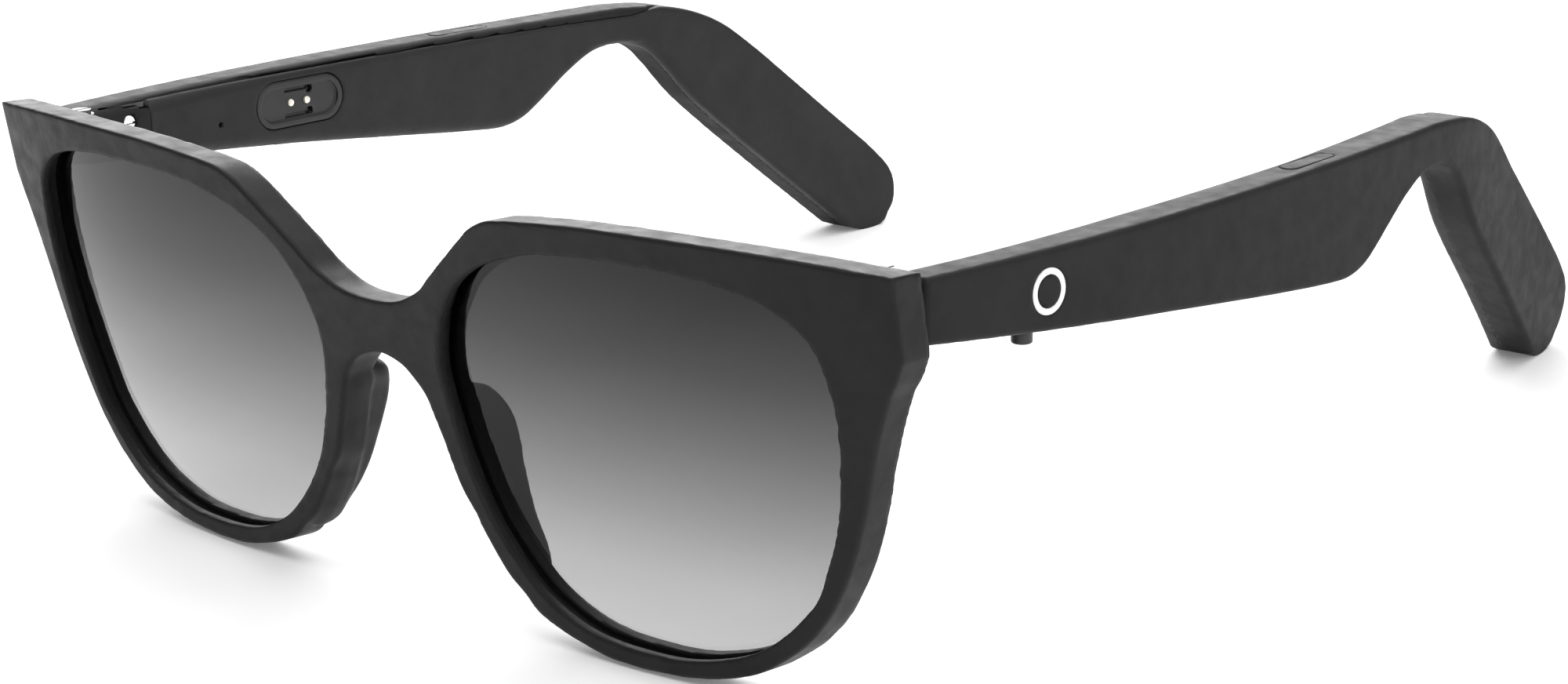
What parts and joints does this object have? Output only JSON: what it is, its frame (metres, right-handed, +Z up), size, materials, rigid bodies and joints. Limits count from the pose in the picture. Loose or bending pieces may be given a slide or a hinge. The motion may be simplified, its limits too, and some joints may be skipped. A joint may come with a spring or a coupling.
{
  "type": "smart glasses",
  "caption": "Full-rim smart sunglasses with gradient lenses, folding electronics temples with drop hooks, charging ports, touch pads and push buttons.",
  "frame": {"origin": "under the middle of the box, on the surface that the lower rims and hook tips stand on, temples open", "axes": "+X towards the wearer's left, +Y back along the temples, +Z up"},
  "size_m": [0.1488, 0.1596, 0.0516],
  "materials": {
    "frame": "fine soft-touch matte",
    "temple": "fine soft-touch matte",
    "lens": "polished gradient tint, dark at the top",
    "hinge_metal": "satin",
    "screw": "polished",
    "touch_pad": "smooth matte",
    "port": "matte",
    "contact": "plated, polished",
    "button": "matte",
    "emblem": "white satin",
    "board": "solder mask",
    "battery_foil": "foil",
    "flex": "polyimide film",
    "speaker": "satin",
    "component_metal": "nickel plate",
    "switch": "moulded"
  },
  "bodies": {
    "front": {"front_frame": "frame", "lens_left": "lens", "front_hinge_leaf_left": "hinge_metal", "front_leaf_screws_left": "screw", "pivot_screw_left": "screw", "lens_right": "lens", "front_hinge_leaf_right": "hinge_metal", "front_leaf_screws_right": "screw", "pivot_screw_right": "screw"},
    "temple_left": {"temple_shell_left": "temple", "inner_cover_left": "temple", "temple_hinge_leaf_left": "hinge_metal", "temple_leaf_screw_left": "screw", "circuit_board_left": "board", "battery_left": "battery_foil", "battery_flex_left": "flex", "speaker_left": "speaker", "microphone_left": "component_metal", "touch_pad_left": "touch_pad", "charge_port_left": "port", "charge_contacts_left": "contact", "charge_magnets_left": "component_metal", "button_switch_left": "switch", "emblem_left": "emblem"},
    "button_left": {"power_button_left": "button"},
    "temple_right": {"temple_shell_right": "temple", "inner_cover_right": "temple", "temple_hinge_leaf_right": "hinge_metal", "temple_leaf_screw_right": "screw", "circuit_board_right": "board", "battery_right": "battery_foil", "battery_flex_right": "flex", "speaker_right": "speaker", "microphone_right": "component_metal", "touch_pad_right": "touch_pad", "charge_port_right": "port", "charge_contacts_right": "contact", "charge_magnets_right": "component_metal", "button_switch_right": "switch", "emblem_right": "emblem"},
    "button_right": {"power_button_right": "button"}
  },
  "joints": [
    {"name": "temple_fold_left", "type": "hinge", "parent": "front", "child": "temple_left", "pos_m": [0.066, -0.06626, 0.0452], "axis": [0, 0.0663, 0.9978], "range_deg": [0, 86.2]},
    {"name": "temple_fold_right", "type": "hinge", "parent": "front", "child": "temple_right", "pos_m": [-0.066, -0.06626, 0.0452], "axis": [0, -0.0663, -0.9978], "range_deg": [0, 51]},
    {"name": "button_press_left", "type": "slide", "parent": "temple_left", "child": "button_left", "axis": [0, 0.0663, 0.9978], "range_m": [0, 0.00035], "stiffness_N_per_m": 300, "springref_m": -0.0003},
    {"name": "button_press_right", "type": "slide", "parent": "temple_right", "child": "button_right", "axis": [0, 0.0663, 0.9978], "range_m": [0, 0.00035], "stiffness_N_per_m": 300, "springref_m": -0.0003}
  ]
}
